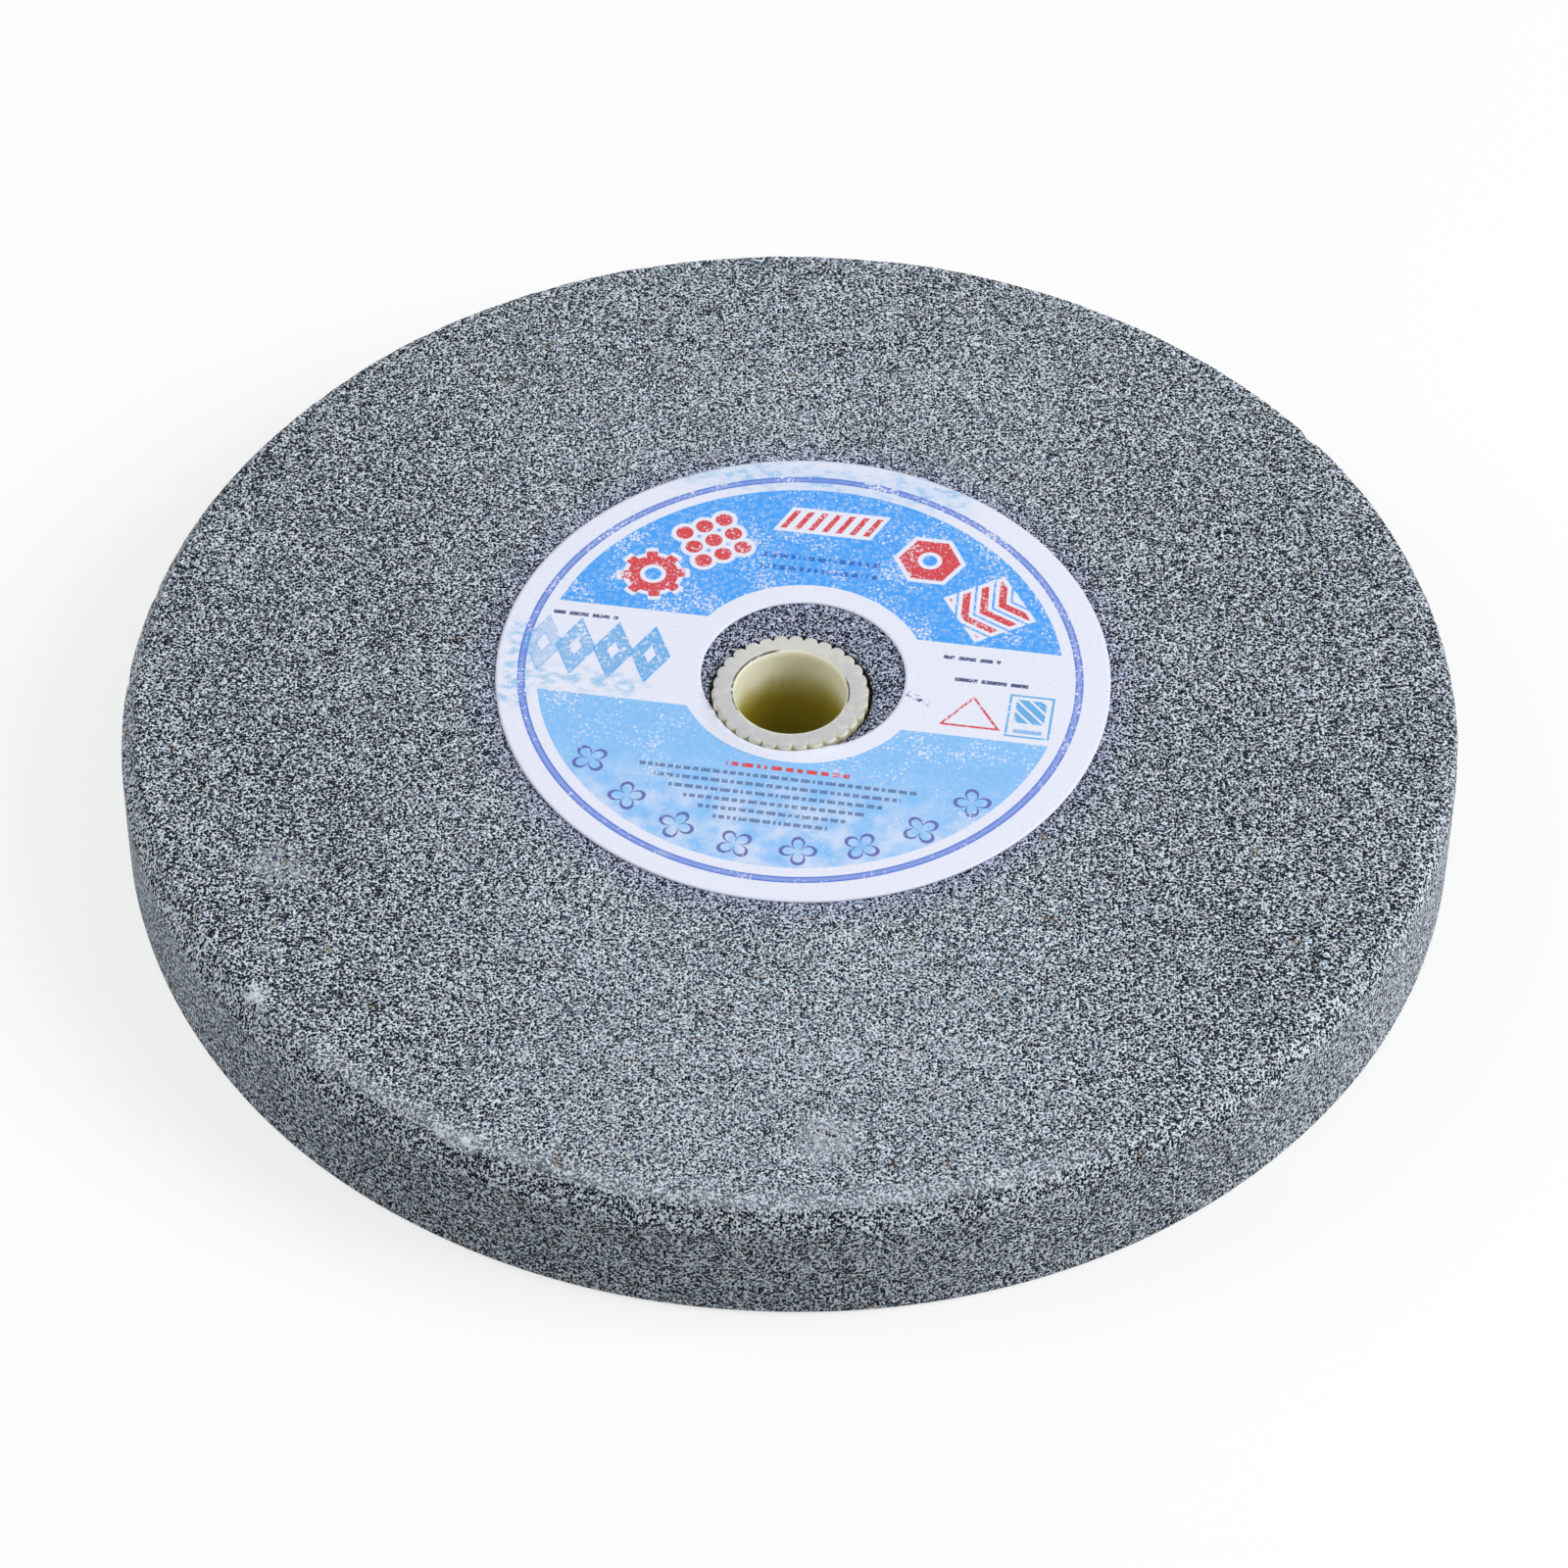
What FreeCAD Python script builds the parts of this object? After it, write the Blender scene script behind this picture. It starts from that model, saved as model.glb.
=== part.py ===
import FreeCAD, Part
import math
import os

# A bench grinding wheel: a pressed and fired abrasive disc, a toothed nylon bush that
# reduces its hole to the arbor's size, and a round paper label glued to one side.
# Millimetres. The origin is on the arbor's axis at the disc's bare underside, and +Z runs
# along that axis to the labelled side.

# Abrasive disc
WHEEL_DIAMETER = 150.0
WHEEL_THICKNESS = 16.0
UNDERSIDE_EDGE_ROUND = 0.7

# The worn bevel on the labelled side's outer corner, wide on one side and almost gone on
# the other. Its widths are measured in from the rim.
BEVEL_WIDEST = 2.1
BEVEL_NARROWEST = 0.3
BEVEL_STEEPNESS = 55.0
BEVEL_WIDEST_TOWARDS = 240.0

# Nylon bush, moulded with straight teeth round its outside
BORE_DIAMETER = 12.7
BORE_CHAMFER = 0.25
BUSH_WALL = 2.45
BUSH_PROUD = 1.0
BUSH_RECESS = 1.0
BUSH_CLEARANCE = 0.05
TOOTH_COUNT = 30
TOOTH_CROWN = 0.14
NOTCH_DEPTH = 0.6
NOTCH_MOUTH = 0.62
NOTCH_FLOOR = 0.12
TOOTH_TURN = 2.0

# Paper label, glued on a little off the axis. Its hole was punched off its own centre, and
# it is pushed back where it meets the bush.
LABEL_DIAMETER = 69.2
LABEL_THICKNESS = 0.3
LABEL_X = 1.4
LABEL_Y = 3.6
LABEL_HOLE_DIAMETER = 23.0
LABEL_HOLE_OFF_CENTRE = 0.3
LABEL_CLEARANCE = 0.1

# Sizes that follow from those above
bush_diameter = BORE_DIAMETER + 2 * BUSH_WALL
bush_low = BUSH_RECESS
bush_high = WHEEL_THICKNESS + BUSH_PROUD

Z_AXIS = FreeCAD.Vector(0, 0, 1)


def polar(radius, angle_deg, height=0.0):
    """A point at a radius and an angle round the axis."""
    angle = math.radians(angle_deg)
    return FreeCAD.Vector(radius * math.cos(angle), radius * math.sin(angle), height)


def spin_outline(edges, centre=FreeCAD.Vector(0, 0, 0)):
    """A solid of revolution from a closed outline drawn in the XZ plane."""
    face = Part.Face(Part.Wire(edges))
    solid = face.revolve(FreeCAD.Vector(0, 0, 0), Z_AXIS, 360)
    solid.translate(centre)
    return solid


def upright_cylinder(diameter, low, high, x=0.0, y=0.0):
    """A cylinder from one height to another."""
    return Part.makeCylinder(diameter / 2, high - low, FreeCAD.Vector(x, y, low), Z_AXIS)


def plain_disc():
    """The disc as it was pressed: flat sides, a round rim and a rounded lower corner."""
    radius = WHEEL_DIAMETER / 2
    flat = radius - UNDERSIDE_EDGE_ROUND
    middle = UNDERSIDE_EDGE_ROUND * (1 - math.sqrt(0.5))
    axis_low = FreeCAD.Vector(0, 0, 0)
    round_start = FreeCAD.Vector(flat, 0, 0)
    round_middle = FreeCAD.Vector(radius - middle, 0, middle)
    round_end = FreeCAD.Vector(radius, 0, UNDERSIDE_EDGE_ROUND)
    rim_top = FreeCAD.Vector(radius, 0, WHEEL_THICKNESS)
    axis_top = FreeCAD.Vector(0, 0, WHEEL_THICKNESS)
    return spin_outline([
        Part.makeLine(axis_low, round_start),
        Part.Arc(round_start, round_middle, round_end).toShape(),
        Part.makeLine(round_end, rim_top),
        Part.makeLine(rim_top, axis_top),
        Part.makeLine(axis_top, axis_low),
    ])


def bevel_envelope():
    """What the worn bevel leaves: a cone set off the axis, away from the worn side."""
    radius = WHEEL_DIAMETER / 2
    mean_width = (BEVEL_WIDEST + BEVEL_NARROWEST) / 2
    offset = (BEVEL_WIDEST - BEVEL_NARROWEST) / 2
    top_radius = radius - mean_width
    skirt_radius = radius + 2 * BEVEL_WIDEST
    drop = (skirt_radius - top_radius) * math.tan(math.radians(BEVEL_STEEPNESS))
    axis_top = FreeCAD.Vector(0, 0, WHEEL_THICKNESS)
    cone_top = FreeCAD.Vector(top_radius, 0, WHEEL_THICKNESS)
    cone_foot = FreeCAD.Vector(skirt_radius, 0, WHEEL_THICKNESS - drop)
    skirt_foot = FreeCAD.Vector(skirt_radius, 0, -drop)
    axis_foot = FreeCAD.Vector(0, 0, -drop)
    outline = [
        Part.makeLine(axis_top, cone_top),
        Part.makeLine(cone_top, cone_foot),
        Part.makeLine(cone_foot, skirt_foot),
        Part.makeLine(skirt_foot, axis_foot),
        Part.makeLine(axis_foot, axis_top),
    ]
    return spin_outline(outline, polar(offset, BEVEL_WIDEST_TOWARDS + 180))


def abrasive_wheel():
    """The one-piece abrasive disc, with the hole that the bush sits in."""
    hole_diameter = bush_diameter + 2 * BUSH_CLEARANCE
    hole = upright_cylinder(hole_diameter, 0, WHEEL_THICKNESS)
    return plain_disc().common(bevel_envelope()).cut(hole)


def tooth_outline(index):
    """One tooth's crown and the notch that follows it, from notch mouth to notch mouth."""
    tip_radius = bush_diameter / 2
    shoulder_radius = tip_radius - TOOTH_CROWN
    floor_radius = tip_radius - NOTCH_DEPTH
    pitch = 360.0 / TOOTH_COUNT
    half_mouth = math.degrees(NOTCH_MOUTH / 2 / shoulder_radius)
    half_floor = math.degrees(NOTCH_FLOOR / 2 / floor_radius)
    tip = TOOTH_TURN + index * pitch
    notch = tip + pitch / 2
    crown_start = polar(shoulder_radius, notch - pitch + half_mouth, bush_low)
    crown_top = polar(tip_radius, tip, bush_low)
    crown_end = polar(shoulder_radius, notch - half_mouth, bush_low)
    floor_start = polar(floor_radius, notch - half_floor, bush_low)
    floor_end = polar(floor_radius, notch + half_floor, bush_low)
    next_crown = polar(shoulder_radius, notch + half_mouth, bush_low)
    return [
        Part.Arc(crown_start, crown_top, crown_end).toShape(),
        Part.makeLine(crown_end, floor_start),
        Part.makeLine(floor_start, floor_end),
        Part.makeLine(floor_end, next_crown),
    ]


def bore_tool():
    """The arbor's bore with a small chamfer at each mouth."""
    bore_radius = BORE_DIAMETER / 2
    mouth_radius = bore_radius + BORE_CHAMFER
    low_mouth = FreeCAD.Vector(0, 0, bush_low)
    high_mouth = FreeCAD.Vector(0, 0, bush_high - BORE_CHAMFER)
    bore = upright_cylinder(BORE_DIAMETER, bush_low, bush_high)
    lower = Part.makeCone(mouth_radius, bore_radius, BORE_CHAMFER, low_mouth)
    upper = Part.makeCone(bore_radius, mouth_radius, BORE_CHAMFER, high_mouth)
    return bore.fuse([lower, upper])


def bush():
    """The toothed bush: proud of the labelled side and set back from the other."""
    edges = []
    for index in range(TOOTH_COUNT):
        edges += tooth_outline(index)
    section = Part.Face(Part.Wire(Part.__sortEdges__(edges)))
    toothed_bar = section.extrude(FreeCAD.Vector(0, 0, bush_high - bush_low))
    return toothed_bar.cut(bore_tool())


def paper_label():
    """The round label, with its off-centre hole kept clear of the bush's teeth."""
    low = WHEEL_THICKNESS
    high = WHEEL_THICKNESS + LABEL_THICKNESS
    sheet = upright_cylinder(LABEL_DIAMETER, low, high, LABEL_X, LABEL_Y)
    hole_y = LABEL_Y - LABEL_HOLE_OFF_CENTRE
    hole = upright_cylinder(LABEL_HOLE_DIAMETER, low, high, LABEL_X, hole_y)
    bush_room = upright_cylinder(bush_diameter + 2 * LABEL_CLEARANCE, low, high)
    return sheet.cut([hole, bush_room])


def one_solid(shape):
    """The single solid that a cut or an intersection leaves."""
    return shape.removeSplitter().Solids[0]


PIECES = {
    "abrasive_wheel": abrasive_wheel,
    "bush": bush,
    "paper_label": paper_label,
}

os.makedirs("parts", exist_ok=True)
for name, make in PIECES.items():
    piece = one_solid(make())
    piece.exportStep("parts/" + name + ".step")
    size = piece.optimalBoundingBox()
    print(name, "valid", piece.isValid(), "volume", round(piece.Volume, 1), "x", round(size.XLength, 3),
          "y", round(size.YLength, 3), "z", round(size.ZMin, 3), round(size.ZMax, 3))
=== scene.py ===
import math

import bpy
import numpy as np
from bpy.props import FloatProperty, FloatVectorProperty, IntProperty, PointerProperty
from mathutils import Matrix, Vector, noise


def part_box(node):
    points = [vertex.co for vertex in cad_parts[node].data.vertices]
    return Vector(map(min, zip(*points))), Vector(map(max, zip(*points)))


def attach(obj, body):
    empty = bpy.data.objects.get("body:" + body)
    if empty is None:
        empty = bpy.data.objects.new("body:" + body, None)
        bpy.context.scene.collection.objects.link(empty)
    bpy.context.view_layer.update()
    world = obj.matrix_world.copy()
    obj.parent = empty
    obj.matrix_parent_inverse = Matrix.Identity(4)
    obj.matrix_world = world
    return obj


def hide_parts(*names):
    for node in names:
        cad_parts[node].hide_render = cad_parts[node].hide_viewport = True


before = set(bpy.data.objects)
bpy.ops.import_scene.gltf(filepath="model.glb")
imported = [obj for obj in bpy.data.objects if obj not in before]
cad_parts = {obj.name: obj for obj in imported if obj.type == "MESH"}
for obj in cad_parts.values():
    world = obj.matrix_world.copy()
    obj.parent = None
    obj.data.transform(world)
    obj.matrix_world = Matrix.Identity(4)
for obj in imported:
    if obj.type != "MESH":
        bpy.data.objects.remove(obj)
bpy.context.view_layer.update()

bl_info = {
    "name": "Bench grinding wheel",
    "version": (1, 0, 0),
    "blender": (4, 5, 0),
    "location": "3D View > Sidebar > Grinding Wheel",
    "description": "Builds a worn bench grinding wheel with its nylon bush and paper label",
    "category": "Add Mesh",
}

# Everything is in metres. Sizes of grain, print and wear are given in millimetres.
MM = 0.001
TURN = 2 * math.pi

DISC_LOW, DISC_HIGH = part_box("abrasive_wheel")
BUSH_LOW, BUSH_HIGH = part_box("bush")
LABEL_LOW, LABEL_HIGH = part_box("paper_label")
DISC_RADIUS = DISC_HIGH[0]
FACE_HEIGHT = DISC_HIGH[2]
LABEL_RADIUS = (LABEL_HIGH[0] - LABEL_LOW[0]) / 2
LABEL_CENTRE = Vector(((LABEL_LOW[0] + LABEL_HIGH[0]) / 2, (LABEL_LOW[1] + LABEL_HIGH[1]) / 2))
LABEL_MIDDLE_MM = (LABEL_CENTRE.x / MM, LABEL_CENTRE.y / MM, 0)
BUSH_RADIUS = 8.8 * MM
HOLE_RADIUS = BUSH_RADIUS + 0.05 * MM

# The print's layout, in millimetres from the label's centre.
FIELD_RADIUS = 29.65
RING_RADIUS = 31.4
HUB_RADIUS = 14.0
BAND_TOP = 7.2
BAND_FOOT = -7.05
ARC_RADIUS = 27.2

# The lamps: name, place in metres and power in watts.
LAMPS = (("right_softbox", (0.95, -0.15, 0.75), 11.0), ("left_softbox", (-0.85, 0.10, 0.70), 3.5))
LAMP_SIZE = 0.7
FLOOR_HALF = 4.0


def linear(hex_text):
    """An sRGB hex colour as linear red, green, blue and alpha."""
    parts = [int(hex_text[i:i + 2], 16) / 255 for i in (1, 3, 5)]
    return tuple(c / 12.92 if c <= 0.04045 else ((c + 0.055) / 1.055) ** 2.4 for c in parts) + (1.0,)


def colour(name, description, hex_text):
    """A colour setting."""
    return FloatVectorProperty(name=name, description=description, size=4, min=0, max=1,
                               subtype="COLOR", default=linear(hex_text))


def length(name, description, millimetres):
    """A length setting, given here in millimetres and kept in metres."""
    return FloatProperty(name=name, description=description, default=millimetres * MM,
                         unit="LENGTH", precision=5)


def angle(name, description, degrees):
    """An angle setting, given here in degrees and kept in radians."""
    return FloatProperty(name=name, description=description, default=math.radians(degrees),
                         unit="ROTATION")


class StoneSettings(bpy.types.PropertyGroup):
    """The abrasive disc: its worn corner and its grain."""

    bevel_widest: length("Bevel, widest", "Width of the worn corner on its worst side", 2.1)
    bevel_narrowest: length("Bevel, narrowest", "Width of the worn corner on its best side", 0.3)
    bevel_steepness: angle("Bevel steepness", "Fall of the worn corner from the face", 55.0)
    bevel_towards: angle("Bevel towards", "Direction of the worst wear", 240.0)
    corner_round: length("Lower corner", "Rounding of the underside's corner", 0.7)
    hole_lip: length("Hole lip", "Width of the worn edge of the hole at its widest", 0.95)
    lip_towards: angle("Hole lip towards", "Direction of the widest worn edge", 80.0)
    rim_hollow: length("Rim hollow", "How far the rim strays in from a true circle", 0.25)
    grain_size: length("Grain size", "Spacing of the abrasive grains", 0.16)
    pore_spacing: length("Pore spacing", "Spacing of the open pores", 0.31)
    pore: colour("Pore", "Open pores between the grains", "#030E20")
    shade: colour("Dark grain", "Darkest grains", "#475A6F")
    body: colour("Grain", "Most of the grains", "#8C9CAF")
    light: colour("Pale grain", "Palest grains", "#E7F2FC")
    rust: colour("Warm grain", "Rare warm grains", "#DCC0A6")
    cold: colour("Blue grain", "Bluish grains", "#7F9CB4")
    # Also laid thinly over the front of the face as painted light.
    dust_and_front_light: colour("Dust", "Pale dust on the worn corner and in bruises", "#B4BDC8")
    stain: colour("Stain", "Tint of the faint brown stains", "#DCCBB8")
    dye: colour("Ink stain", "Tint of the ink that ran from the label", "#E6E3FA")
    # On the stone this is painted shade, darkening the gap round the bush.
    grime_and_gap_shade: colour("Grime", "Tint of the grime in the gap round the bush", "#34302C")


class BushSettings(bpy.types.PropertyGroup):
    """The toothed nylon bush."""

    teeth: IntProperty(name="Teeth", description="Teeth round the outside", default=30, min=3)
    crown: length("Crown", "Fall from a tooth's tip to its shoulders", 0.14)
    notch_depth: length("Notch depth", "Depth of the notches between the teeth", 0.6)
    notch_mouth: length("Notch mouth", "Width of a notch at its mouth", 0.62)
    notch_floor: length("Notch floor", "Width of a notch at its floor", 0.12)
    turn: angle("Turn", "Angle of the first tooth", 2.0)
    packed: length("Packed dirt", "Height above the disc of the dirt in the notches", 0.1)
    bore_radius: length("Bore radius", "Radius of the bore", 6.35)
    chamfer: length("Chamfer", "Chamfer at each mouth of the bore", 0.25)
    nylon: colour("Nylon", "Moulded ivory nylon", "#F3F1DC")
    dressed: colour("Dressed face", "End face, dressed flat with the stone", "#C7C9CC")
    # Painted shade part way down the bore.
    painted_bore_olive: colour("Olive nylon", "Nylon part way down the bore", "#DED89E")
    # Painted shade at the bottom of the bore.
    deep: colour("Deep nylon", "Nylon at the bottom of the bore", "#AEA02C")
    # Also laid, with dirt, as painted shade on the bush below its dressed end.
    dirt_and_wall_shade: colour("Brown dirt", "Dirt in the notches and on the tooth tips", "#8F8762")
    grime_and_gap_shade: colour("Grime", "Dirt caught round the bore's mouth", "#57544C")
    burr: colour("Burr", "Pale burr round the bore's mouth", "#ECECE6")


class LabelSettings(bpy.types.PropertyGroup):
    """The printed paper label."""

    turn: angle("Turn", "Turn of the print on the wheel", -8.0)
    hole_radius: length("Hole radius", "Radius of the label's hole", 11.5)
    hole_off_centre: length("Hole off centre", "How far the hole was punched off the centre", 0.3)
    bush_clearance: length("Bush clearance", "Gap between the label's edge and the bush", 0.1)
    lifted_edge: length("Lifted edge", "How far the edge rides up beside the bush", 0.42)
    paper: colour("Paper", "Coated white paper", "#EDF0FF")
    field: colour("Upper field", "Blue ink of the upper field", "#48A6FF")
    pale_field: colour("Lower field", "Paler blue ink of the lower field", "#89C6FF")
    ring: colour("Ring", "Blue ink of the ring line", "#4A78DC")
    red: colour("Red", "Red ink of the large marks", "#DC4A50")
    fine_print: colour("Fine print", "Dark ink of the fine lines", "#525B86")
    stamp: colour("Stamp", "Light blue ink of the stamped marks", "#6FB4EC")
    violet: colour("Violet", "Violet ink of the small marks", "#5551A6")
    deep: colour("Deep blue", "Dark blue ink of two fine lines", "#3A6CC4")
    smear: colour("Smear", "Blue ink rubbed over the paper", "#9CCBF3")
    mottle: colour("Mottle", "Thin ink inside the fields", "#A8D0F8")


class StudioSettings(bpy.types.PropertyGroup):
    """The camera, the light from all round and the floor."""

    lens: FloatProperty(name="Lens", description="Focal length in mm, on a 36 mm frame", default=130.5)
    elevation: angle("Elevation", "Camera's height above the floor, as an angle", 46.82)
    roll: angle("Roll", "Camera's turn about its own axis", 0.68)
    distance: length("Distance", "Camera's distance from the point it looks at", 627.9)
    aim_right: length("Aim right", "Point that the camera looks at, to the right", -0.6)
    aim_back: length("Aim back", "Point that the camera looks at, to the back", -13.3)
    sky: FloatProperty(name="Sky", description="Strength of the light from all round", default=0.38)
    floor: colour("Floor", "Pale floor, as it lights the wheel", "#C4C4C6")


class Shader:
    """The node tree of a material or a world while it is being built."""

    def __init__(self, owner):
        owner.use_nodes = True
        self.tree = owner.node_tree
        self.tree.nodes.clear()
        self.base = None

    def add(self, kind, inputs=(), operation=None, **settings):
        """Adds one node with its settings, and fills or links its inputs in order or by name.
        A node given as an input stands for its first output in use. A MapRange has soft ends,
        unless the settings say otherwise."""
        node = self.tree.nodes.new("ShaderNode" + kind)
        if kind == "MapRange":
            node.interpolation_type = "SMOOTHSTEP"
        if operation:
            node.operation = operation
        for name, value in settings.items():
            setattr(node, name, value)
        named = inputs.items() if isinstance(inputs, dict) else enumerate(inputs)
        for name, value in named:
            if isinstance(value, bpy.types.Node):
                value = next(output for output in value.outputs if output.enabled)
            if isinstance(value, bpy.types.NodeSocket):
                self.tree.links.new(value, node.inputs[name])
            else:
                node.inputs[name].default_value = value
        return node

    def millimetres(self):
        """The surface point in the wheel's own frame, in millimetres."""
        place = self.add("TexCoord").outputs["Object"]
        return self.add("VectorMath", {0: place, "Scale": 1 / MM}, "SCALE")

    def patches(self, place, size, clear, full, detail=3.0, shift=0.0, stretch=(1, 1, 1)):
        """Random patches: 0 where the noise is at clear, and 1 where it is at full."""
        moved = self.add("Mapping", {0: place, 1: (7.1 * shift, 3.3 * shift, 0), 3: stretch})
        found = self.add("TexNoise", {"Vector": moved, "Scale": 1 / size, "Detail": detail})
        return self.add("MapRange", [found, clear, full])

    def off(self, value, line):
        """Distance of a value from a line."""
        gap = self.add("Math", [value, line], "SUBTRACT")
        return self.add("Math", [gap], "ABSOLUTE")

    def total(self, start, *weighted):
        """A value plus several others, each times its weight."""
        for part, weight in weighted:
            start = self.add("Math", [part, weight, start], "MULTIPLY_ADD")
        return start

    def lay(self, ink, *amounts, blend_type="MIX"):
        """Lays a colour over what is there, in full where all the amounts are 1."""
        share = amounts[0]
        for amount in amounts[1:]:
            share = self.add("Math", [share, amount], "MULTIPLY")
        self.base = self.add("Mix", {0: share, 6: self.base, 7: tuple(ink)}, data_type="RGBA",
                             blend_type=blend_type)


def placed(name, data):
    """A new object in the scene."""
    thing = bpy.data.objects.new(name, data)
    bpy.context.scene.collection.objects.link(thing)
    return thing


def closed_grid(name, points, material):
    """A closed ring of quads: points has one row for each angle, and both ways round close."""
    turns, stations = points.shape[:2]
    mesh = bpy.data.meshes.new(name)
    index = np.arange(turns * stations).reshape(turns, stations)
    across = np.roll(index, -1, axis=0)
    quads = np.stack([index, across, np.roll(across, -1, axis=1), np.roll(index, -1, axis=1)], -1)
    mesh.from_pydata(points.reshape(-1, 3).tolist(), [], quads.reshape(-1, 4).tolist())
    mesh.shade_smooth()
    mesh.materials.append(material)
    return placed(name, mesh)


def spun(radius, height, angles):
    """Points of a section, given by radius and height at each angle."""
    return np.stack([radius * np.cos(angles)[:, None], radius * np.sin(angles)[:, None], height], -1)


def noise_at(points, scale, seed):
    """Smooth noise from -1 to 1 at each point; scale is its wavelength in metres."""
    shift = Vector((seed * 17.3, seed * 5.1, seed * 9.7))
    flat = [noise.noise(Vector(p) / scale + shift) for p in points.reshape(-1, 3)]
    return np.array(flat).reshape(points.shape[:-1])


def chips_at(points, scale, size, share, seed):
    """Depth from 0 to 1 of rounded chips: a share of cells of this scale hold one each."""
    shift = Vector((seed * 11.9, seed * 3.7, seed * 7.3))
    flat = []
    for point in points.reshape(-1, 3):
        distances, sites = noise.voronoi(Vector(point) / scale + shift)
        kept = noise.cell(sites[0] * 37.0) < share
        flat.append(max(0.0, 1 - (distances[0] * scale / size) ** 2) if kept else 0.0)
    return np.array(flat).reshape(points.shape[:-1])


def smooth_stations(radius, height, weights, rounds):
    """Rounds a section's corners by averaging each point with its two neighbours."""
    for _ in range(rounds):
        for part in (radius, height):
            mean = (np.roll(part, 1, axis=1) + np.roll(part, -1, axis=1)) / 2
            part += (mean - part) * weights


def bevel_circle(stone):
    """The circle where the bevel meets the face: its centre, which lies off the axis, away
    from the worst wear, and its radius."""
    shift = (stone.bevel_widest - stone.bevel_narrowest) / 2
    centre = Vector((-math.cos(stone.bevel_towards), -math.sin(stone.bevel_towards))) * shift
    return centre, DISC_RADIUS - (stone.bevel_widest + stone.bevel_narrowest) / 2


def disc_section(stone, angles):
    """The disc's section at each angle: up the hole, out over the face, down and back."""
    centre, reach = bevel_circle(stone)
    along = centre.x * np.cos(angles) + centre.y * np.sin(angles)
    aside = centre.y * np.cos(angles) - centre.x * np.sin(angles)
    edge = along + np.sqrt(reach ** 2 - aside ** 2)
    drop = (DISC_RADIUS - edge) * math.tan(stone.bevel_steepness)
    corner = stone.corner_round
    stretches = []

    def stretch(r0, z0, r1, z1, steps, ease=1.0):
        t = (np.arange(steps) / steps) ** ease
        ends = [np.broadcast_to(end, angles.shape)[:, None] for end in (r0, z0, r1, z1)]
        stretches.append((ends[0] + (ends[2] - ends[0]) * t, ends[1] + (ends[3] - ends[1]) * t))

    top = FACE_HEIGHT
    lip = 0.3 * MM
    worn_lip = stone.hole_lip * (0.5 + 0.5 * np.cos(angles - stone.lip_towards)) ** 1.5
    worn_lip += 0.05 * MM
    last_face = edge - 1.2 * MM
    stretch(HOLE_RADIUS, lip, HOLE_RADIUS, top - worn_lip, 6)
    stretch(HOLE_RADIUS, top - worn_lip, HOLE_RADIUS + worn_lip, top, 3)
    stretch(HOLE_RADIUS + worn_lip, top, last_face, top, 46, 0.85)
    stretch(last_face, top, edge, top, 5)
    stretch(edge, top, DISC_RADIUS, top - drop, 7)
    stretch(DISC_RADIUS, top - drop, DISC_RADIUS, corner, 22)
    for step in range(4):
        turned = math.pi / 8 * step
        r, z = DISC_RADIUS - corner * (1 - math.cos(turned)), corner * (1 - math.sin(turned))
        stretch(r, z, r, z, 1)
    stretch(DISC_RADIUS - corner, 0.0, HOLE_RADIUS + lip, 0.0, 20, 1.15)
    stretch(HOLE_RADIUS + lip, 0.0, HOLE_RADIUS, lip, 2)
    radius = np.concatenate([part[0] for part in stretches], axis=1)
    height = np.concatenate([part[1] for part in stretches], axis=1)
    near_edge = np.exp(-((radius - edge[:, None]) / (1.5 * MM)) ** 2) * (height > top / 2)
    smooth_stations(radius, height, 0.5 * near_edge, 4)
    return radius, height, near_edge


def worn_disc(stone):
    """The disc's mesh, with its grainy faces, uneven rim and chipped corner."""
    turns = 700
    angles = np.arange(turns) / turns * TURN
    radius, height, near_edge = disc_section(stone, angles)
    across = np.roll(radius, -1, axis=1) - np.roll(radius, 1, axis=1)
    rise = np.roll(height, -1, axis=1) - np.roll(height, 1, axis=1)
    slope = np.maximum(np.hypot(across, rise), 1e-9)
    inward_r, inward_z = rise / slope, -across / slope
    points = spun(radius, height, angles)
    on_rim = np.clip((radius - DISC_RADIUS) / (4 * MM) + 1, 0, 1)
    clear_of_hole = np.clip((radius - HOLE_RADIUS) / (2 * MM), 0, 1)

    # The rim strays from a true circle and the corner crumbles. The faces are grainy, and
    # chips are out of the corner and, more shallow, out of the faces.
    depth = (0.5 + 0.5 * noise_at(points, 27 * MM, 1)) * stone.rim_hollow * on_rim
    depth += (0.5 + 0.5 * noise_at(points, 2.6 * MM, 2)) * 0.16 * MM * near_edge
    depth += np.abs(noise_at(points, 1.6 * MM, 3)) * 0.015 * MM
    depth += chips_at(points, 5.0 * MM, 1.5 * MM, 0.35, 4) * 0.35 * MM * near_edge
    depth += chips_at(points, 7.0 * MM, 1.0 * MM, 0.25, 5) * 0.22 * MM
    depth *= clear_of_hole
    radius = np.clip(radius + inward_r * depth, HOLE_RADIUS, DISC_RADIUS)
    height = np.clip(height + inward_z * depth, 0, FACE_HEIGHT)
    return closed_grid("worn_disc", spun(radius, height, angles), fired_abrasive(stone))


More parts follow.
